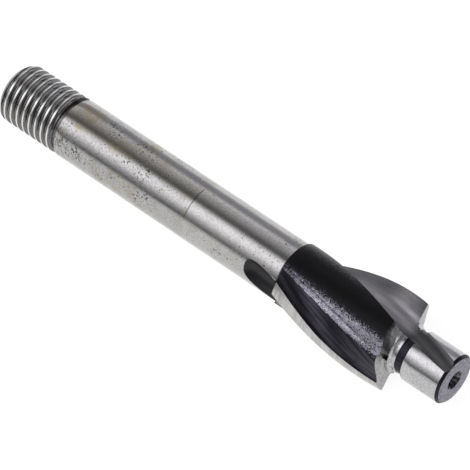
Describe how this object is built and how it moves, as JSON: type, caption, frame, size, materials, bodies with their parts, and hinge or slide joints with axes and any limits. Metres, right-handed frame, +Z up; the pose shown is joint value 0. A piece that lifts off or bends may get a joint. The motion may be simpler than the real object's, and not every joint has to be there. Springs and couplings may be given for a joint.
{
  "type": "counterbore cutter",
  "caption": "Steel counterbore cutter with helical teeth, a solid guide pilot and a screwed cylindrical shank, for recessing screw heads.",
  "frame": {"origin": "centre of the footprint, on the surface that the tool lies on", "axes": "+X along the tool's axis from the threaded end to the pilot, +Z up as the tool lies at rest, +Y to the left"},
  "size_m": [0.088, 0.015, 0.0106],
  "materials": {
    "tool_steel": "ground shank, lands and pilot, with a blackened body and flutes"
  },
  "bodies": {
    "root": {"counterbore_cutter": "tool_steel"}
  },
  "joints": []
}
